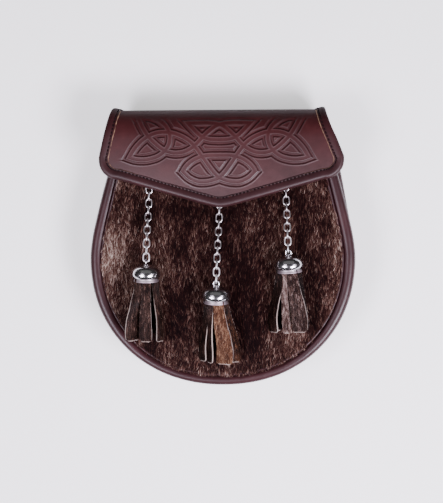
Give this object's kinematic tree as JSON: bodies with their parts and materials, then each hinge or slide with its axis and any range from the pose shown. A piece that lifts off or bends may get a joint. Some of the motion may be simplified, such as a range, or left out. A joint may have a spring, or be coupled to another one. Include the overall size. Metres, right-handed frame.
{
  "type": "sporran pouch",
  "caption": "Hollow leather waist pouch with a hair-on hide front, a knotwork flap and chain-hung tassels.",
  "frame": {"origin": "centre of the bounding box on the surface that the pouch lies on", "axes": "+X to the right of the front, +Y from the round bottom to the fold of the flap, +Z out of the front"},
  "size_m": [0.1922, 0.2008, 0.0582],
  "materials": {
    "leather": "pressed and polished dark red-brown leather",
    "fur": "short dark brown hair on hide",
    "chrome": "bright plated metal",
    "hide_strip": "hair-on hide strips with pale cut edges"
  },
  "bodies": {
    "root": {"back_panel": "leather", "gusset": "leather", "back_piping": "leather", "front_piping": "leather", "fur_front": "fur", "flap": "leather", "flap_binding": "leather", "strap_loop_left": "leather", "strap_loop_right": "leather", "press_stud": "chrome", "chain_staple_left": "chrome", "chain_left_link_01": "chrome", "chain_left_link_02": "chrome", "chain_left_link_03": "chrome", "chain_left_link_04": "chrome", "chain_left_link_05": "chrome", "chain_left_link_06": "chrome", "chain_left_link_07": "chrome", "chain_left_link_08": "chrome", "chain_left_link_09": "chrome", "chain_left_link_10": "chrome", "chain_left_link_11": "chrome", "tassel_cap_left": "chrome", "tassel_left": "hide_strip", "chain_staple_centre": "chrome", "chain_centre_link_01": "chrome", "chain_centre_link_02": "chrome", "chain_centre_link_03": "chrome", "chain_centre_link_04": "chrome", "chain_centre_link_05": "chrome", "chain_centre_link_06": "chrome", "chain_centre_link_07": "chrome", "chain_centre_link_08": "chrome", "chain_centre_link_09": "chrome", "chain_centre_link_10": "chrome", "chain_centre_link_11": "chrome", "chain_centre_link_12": "chrome", "tassel_cap_centre": "chrome", "tassel_centre": "hide_strip", "chain_staple_right": "chrome", "chain_right_link_01": "chrome", "chain_right_link_02": "chrome", "chain_right_link_03": "chrome", "chain_right_link_04": "chrome", "chain_right_link_05": "chrome", "chain_right_link_06": "chrome", "chain_right_link_07": "chrome", "chain_right_link_08": "chrome", "chain_right_link_09": "chrome", "chain_right_link_10": "chrome", "tassel_cap_right": "chrome", "tassel_right": "hide_strip"}
  },
  "joints": []
}
